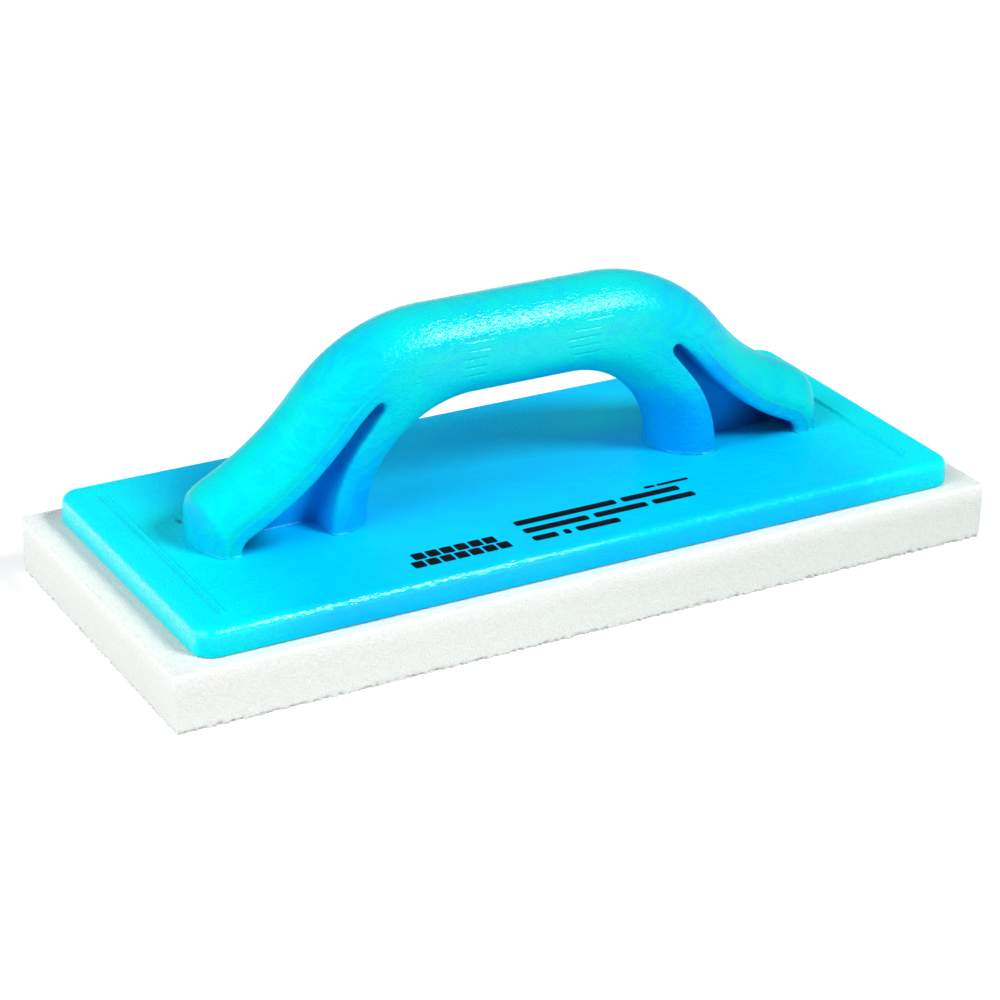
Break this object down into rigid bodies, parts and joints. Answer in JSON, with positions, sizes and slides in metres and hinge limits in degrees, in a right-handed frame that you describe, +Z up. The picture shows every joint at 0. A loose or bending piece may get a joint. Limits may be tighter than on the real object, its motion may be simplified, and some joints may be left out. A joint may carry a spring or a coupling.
{
  "type": "sponge float",
  "caption": "Hand float with a flat moulded back, an arched bar handle on split feet and a glued sponge face.",
  "frame": {"origin": "middle of the sponge's flat working face, which is the lowest face of the float", "axes": "+X along the length of the float, +Y across its width, +Z up from the working face to the grip"},
  "size_m": [0.3, 0.1234, 0.0957],
  "materials": {
    "plate_polymer": "satin with a fine moulded grain",
    "handle_polymer": "satin with faint flow marks",
    "sponge_foam": "open-cell foam",
    "adhesive": "dull",
    "ink": "printed"
  },
  "bodies": {
    "root": {"sponge_pad": "sponge_foam", "adhesive_film": "adhesive", "base_plate": "plate_polymer", "grip": "handle_polymer", "left_strap": "handle_polymer", "right_strap": "handle_polymer", "left_leg": "handle_polymer", "right_leg": "handle_polymer", "left_web": "handle_polymer", "right_web": "handle_polymer", "printed_emblem": "ink", "printed_bars": "ink"}
  },
  "joints": []
}
